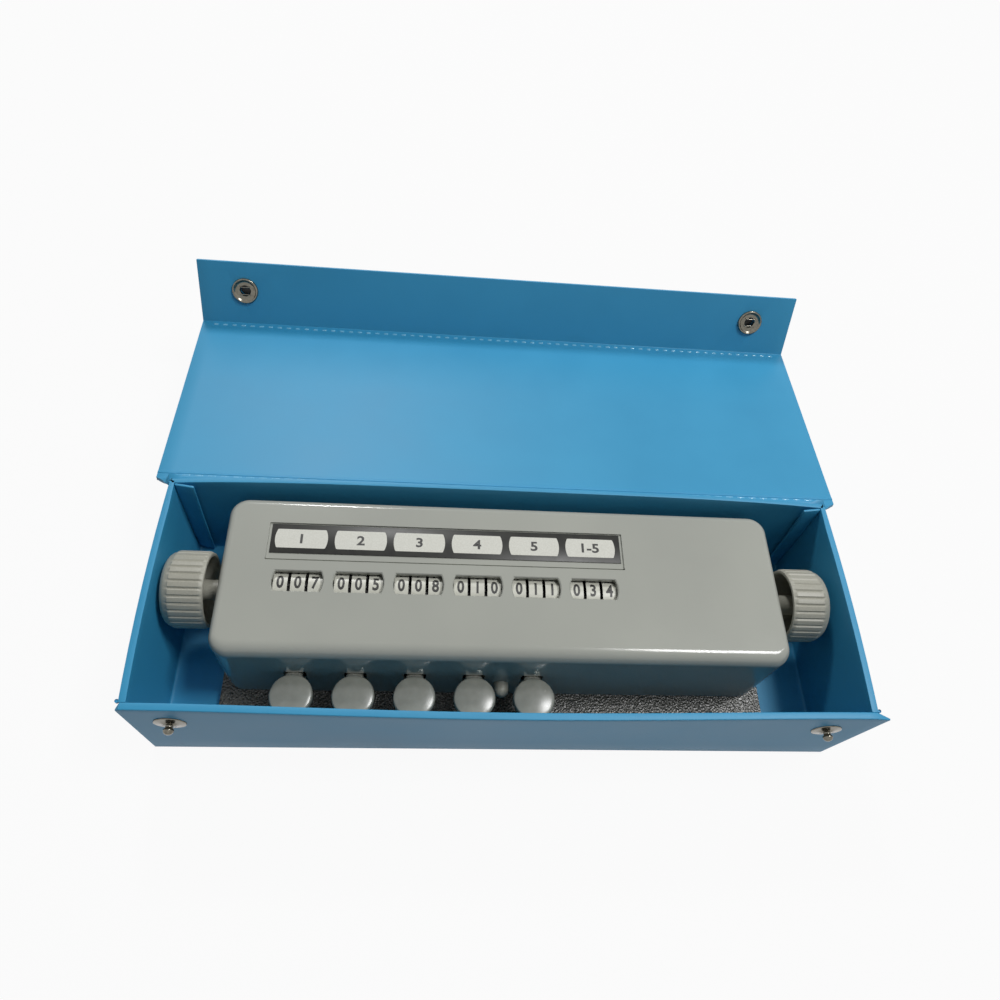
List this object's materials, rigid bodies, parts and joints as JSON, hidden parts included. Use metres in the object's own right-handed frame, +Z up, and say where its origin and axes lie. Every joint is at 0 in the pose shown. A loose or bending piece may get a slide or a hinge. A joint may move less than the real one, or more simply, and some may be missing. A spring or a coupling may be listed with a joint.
{
  "type": "differential cell counter",
  "caption": "Mechanical differential cell counter: grey housing with number windows, press keys and end knobs, in a blue folding case with a snap flap",
  "frame": {"origin": "centre of the case's underside, on the surface it stands on", "axes": "+X along the case to the user's right, +Y away from the user, +Z up; -Z leaves the underside"},
  "size_m": [0.2994, 0.2187, 0.0658],
  "materials": {
    "case_plastic": "welded flexible sheet, faint satin sheen",
    "snap_metal": "nickel-plated pressed metal",
    "housing_paint": "smooth grey enamel, satin gloss",
    "strip_black": "printed strip, smooth",
    "base_paint": "black crackle enamel",
    "foot_rubber": "matte",
    "steel": "plated steel",
    "pinion_plastic": "moulded, plain",
    "bell_metal": "pressed bell metal, plain",
    "grey_plastic": "moulded, satin",
    "lever_nickel": "nickel-plated pressed steel",
    "cap_plastic": "moulded, smooth",
    "wheel_plastic": "moulded, printed digits"
  },
  "bodies": {
    "case": {"case_tray": "case_plastic", "case_studs": "snap_metal", "case_eyelets": "snap_metal"},
    "lid": {"case_lid": "case_plastic"},
    "flap": {"case_flap": "case_plastic", "case_sockets": "snap_metal", "case_caps": "case_plastic"},
    "counter": {"housing": "housing_paint", "label_strip": "strip_black", "base_plate": "base_paint", "rubber_feet": "foot_rubber", "base_screws": "steel", "bearing_plates": "steel", "tie_rods": "steel", "key_rod": "steel", "pinion_rod": "steel", "detent_springs": "steel", "bell_gong": "bell_metal", "bell_posts": "steel", "key_spring_1": "steel", "key_spring_2": "steel", "key_spring_3": "steel", "key_spring_4": "steel", "key_spring_5": "steel"},
    "reset_left": {"reset_shaft_left": "steel", "knob_left": "grey_plastic"},
    "reset_right": {"reset_shaft_right": "steel", "knob_right": "grey_plastic"},
    "transfer": {"transfer_pinions": "pinion_plastic"},
    "total_drive": {"total_bar": "steel"},
    "hammer": {"bell_hammer": "steel"},
    "button": {"front_button": "grey_plastic"},
    "key_1": {"key_lever_1": "lever_nickel", "key_cap_1": "cap_plastic"},
    "key_2": {"key_lever_2": "lever_nickel", "key_cap_2": "cap_plastic"},
    "key_3": {"key_lever_3": "lever_nickel", "key_cap_3": "cap_plastic"},
    "key_4": {"key_lever_4": "lever_nickel", "key_cap_4": "cap_plastic"},
    "key_5": {"key_lever_5": "lever_nickel", "key_cap_5": "cap_plastic"},
    "wheel_1_units": {"wheel_1_units": "wheel_plastic"},
    "wheel_1_tens": {"wheel_1_tens": "wheel_plastic"},
    "wheel_1_hundreds": {"wheel_1_hundreds": "wheel_plastic"},
    "wheel_2_units": {"wheel_2_units": "wheel_plastic"},
    "wheel_2_tens": {"wheel_2_tens": "wheel_plastic"},
    "wheel_2_hundreds": {"wheel_2_hundreds": "wheel_plastic"},
    "wheel_3_units": {"wheel_3_units": "wheel_plastic"},
    "wheel_3_tens": {"wheel_3_tens": "wheel_plastic"},
    "wheel_3_hundreds": {"wheel_3_hundreds": "wheel_plastic"},
    "wheel_4_units": {"wheel_4_units": "wheel_plastic"},
    "wheel_4_tens": {"wheel_4_tens": "wheel_plastic"},
    "wheel_4_hundreds": {"wheel_4_hundreds": "wheel_plastic"},
    "wheel_5_units": {"wheel_5_units": "wheel_plastic"},
    "wheel_5_tens": {"wheel_5_tens": "wheel_plastic"},
    "wheel_5_hundreds": {"wheel_5_hundreds": "wheel_plastic"},
    "wheel_total_units": {"wheel_total_units": "wheel_plastic"},
    "wheel_total_tens": {"wheel_total_tens": "wheel_plastic"},
    "wheel_total_hundreds": {"wheel_total_hundreds": "wheel_plastic"}
  },
  "joints": [
    {"name": "lid_fold", "type": "hinge", "parent": "case", "child": "lid", "pos_m": [0, 0.0513, 0.0524], "axis": [-1, 0, 0], "range_deg": [-186.4, 12]},
    {"name": "flap_fold", "type": "hinge", "parent": "lid", "child": "flap", "pos_m": [0, 0.15184, 0.0382], "axis": [-1, 0, 0], "range_deg": [-21.3, 68.7]},
    {"name": "counter_lift", "type": "slide", "parent": "case", "child": "counter", "axis": [0, 0, 1], "range_m": [0, 0.08]},
    {"name": "knob_left_turn", "type": "hinge", "parent": "counter", "child": "reset_left", "pos_m": [-0.1218, 0.0072, 0.0372], "axis": [1, 0, 0], "continuous": true},
    {"name": "knob_right_turn", "type": "hinge", "parent": "counter", "child": "reset_right", "pos_m": [0.1194, 0.0072, 0.0372], "axis": [1, 0, 0], "continuous": true},
    {"name": "pinions_turn", "type": "hinge", "parent": "counter", "child": "transfer", "pos_m": [-0.0259, -0.0043, 0.0323], "axis": [1, 0, 0], "continuous": true},
    {"name": "total_bar_swing", "type": "hinge", "parent": "counter", "child": "total_drive", "pos_m": [-0.0259, 0.035, 0.0162], "axis": [1, 0, 0], "range_deg": [0, 4], "stiffness_Nm_per_rad": 0.15, "springref_deg": -9.74},
    {"name": "hammer_swing", "type": "hinge", "parent": "counter", "child": "hammer", "pos_m": [0.05739, 0.027, 0.0167], "axis": [0, 0, 1], "range_deg": [-20, 3.5], "stiffness_Nm_per_rad": 0.0005},
    {"name": "button_push", "type": "slide", "parent": "counter", "child": "button", "axis": [0, 1, 0], "range_m": [0, 0.003], "stiffness_N_per_m": 200, "springref_m": -0.002},
    {"name": "key_1_press", "type": "hinge", "parent": "counter", "child": "key_1", "pos_m": [-0.0864, 0.035, 0.0162], "axis": [1, 0, 0], "range_deg": [0, 5], "stiffness_Nm_per_rad": 0.4, "springref_deg": -5.73, "deforming": ["key_spring_1"]},
    {"name": "key_2_press", "type": "hinge", "parent": "counter", "child": "key_2", "pos_m": [-0.0622, 0.035, 0.0162], "axis": [1, 0, 0], "range_deg": [0, 5], "stiffness_Nm_per_rad": 0.4, "springref_deg": -5.73, "deforming": ["key_spring_2"]},
    {"name": "key_3_press", "type": "hinge", "parent": "counter", "child": "key_3", "pos_m": [-0.038, 0.035, 0.0162], "axis": [1, 0, 0], "range_deg": [0, 5], "stiffness_Nm_per_rad": 0.4, "springref_deg": -5.73, "deforming": ["key_spring_3"]},
    {"name": "key_4_press", "type": "hinge", "parent": "counter", "child": "key_4", "pos_m": [-0.0138, 0.035, 0.0162], "axis": [1, 0, 0], "range_deg": [0, 5], "stiffness_Nm_per_rad": 0.4, "springref_deg": -5.73, "deforming": ["key_spring_4"]},
    {"name": "key_5_press", "type": "hinge", "parent": "counter", "child": "key_5", "pos_m": [0.0104, 0.035, 0.0162], "axis": [1, 0, 0], "range_deg": [0, 5], "stiffness_Nm_per_rad": 0.4, "springref_deg": -5.73, "deforming": ["key_spring_5"]},
    {"name": "wheel_1_units_turn", "type": "hinge", "parent": "counter", "child": "wheel_1_units", "pos_m": [-0.07945, 0.0072, 0.0372], "axis": [1, 0, 0], "continuous": true},
    {"name": "wheel_1_tens_turn", "type": "hinge", "parent": "counter", "child": "wheel_1_tens", "pos_m": [-0.0864, 0.0072, 0.0372], "axis": [1, 0, 0], "continuous": true},
    {"name": "wheel_1_hundreds_turn", "type": "hinge", "parent": "counter", "child": "wheel_1_hundreds", "pos_m": [-0.09335, 0.0072, 0.0372], "axis": [1, 0, 0], "continuous": true},
    {"name": "wheel_2_units_turn", "type": "hinge", "parent": "counter", "child": "wheel_2_units", "pos_m": [-0.05525, 0.0072, 0.0372], "axis": [1, 0, 0], "continuous": true},
    {"name": "wheel_2_tens_turn", "type": "hinge", "parent": "counter", "child": "wheel_2_tens", "pos_m": [-0.0622, 0.0072, 0.0372], "axis": [1, 0, 0], "continuous": true},
    {"name": "wheel_2_hundreds_turn", "type": "hinge", "parent": "counter", "child": "wheel_2_hundreds", "pos_m": [-0.06915, 0.0072, 0.0372], "axis": [1, 0, 0], "continuous": true},
    {"name": "wheel_3_units_turn", "type": "hinge", "parent": "counter", "child": "wheel_3_units", "pos_m": [-0.03105, 0.0072, 0.0372], "axis": [1, 0, 0], "continuous": true},
    {"name": "wheel_3_tens_turn", "type": "hinge", "parent": "counter", "child": "wheel_3_tens", "pos_m": [-0.038, 0.0072, 0.0372], "axis": [1, 0, 0], "continuous": true},
    {"name": "wheel_3_hundreds_turn", "type": "hinge", "parent": "counter", "child": "wheel_3_hundreds", "pos_m": [-0.04495, 0.0072, 0.0372], "axis": [1, 0, 0], "continuous": true},
    {"name": "wheel_4_units_turn", "type": "hinge", "parent": "counter", "child": "wheel_4_units", "pos_m": [-0.00685, 0.0072, 0.0372], "axis": [1, 0, 0], "continuous": true},
    {"name": "wheel_4_tens_turn", "type": "hinge", "parent": "counter", "child": "wheel_4_tens", "pos_m": [-0.0138, 0.0072, 0.0372], "axis": [1, 0, 0], "continuous": true},
    {"name": "wheel_4_hundreds_turn", "type": "hinge", "parent": "counter", "child": "wheel_4_hundreds", "pos_m": [-0.02075, 0.0072, 0.0372], "axis": [1, 0, 0], "continuous": true},
    {"name": "wheel_5_units_turn", "type": "hinge", "parent": "counter", "child": "wheel_5_units", "pos_m": [0.01735, 0.0072, 0.0372], "axis": [1, 0, 0], "continuous": true},
    {"name": "wheel_5_tens_turn", "type": "hinge", "parent": "counter", "child": "wheel_5_tens", "pos_m": [0.0104, 0.0072, 0.0372], "axis": [1, 0, 0], "continuous": true},
    {"name": "wheel_5_hundreds_turn", "type": "hinge", "parent": "counter", "child": "wheel_5_hundreds", "pos_m": [0.00345, 0.0072, 0.0372], "axis": [1, 0, 0], "continuous": true},
    {"name": "wheel_total_units_turn", "type": "hinge", "parent": "counter", "child": "wheel_total_units", "pos_m": [0.04155, 0.0072, 0.0372], "axis": [1, 0, 0], "continuous": true},
    {"name": "wheel_total_tens_turn", "type": "hinge", "parent": "counter", "child": "wheel_total_tens", "pos_m": [0.0346, 0.0072, 0.0372], "axis": [1, 0, 0], "continuous": true},
    {"name": "wheel_total_hundreds_turn", "type": "hinge", "parent": "counter", "child": "wheel_total_hundreds", "pos_m": [0.02765, 0.0072, 0.0372], "axis": [1, 0, 0], "continuous": true}
  ]
}
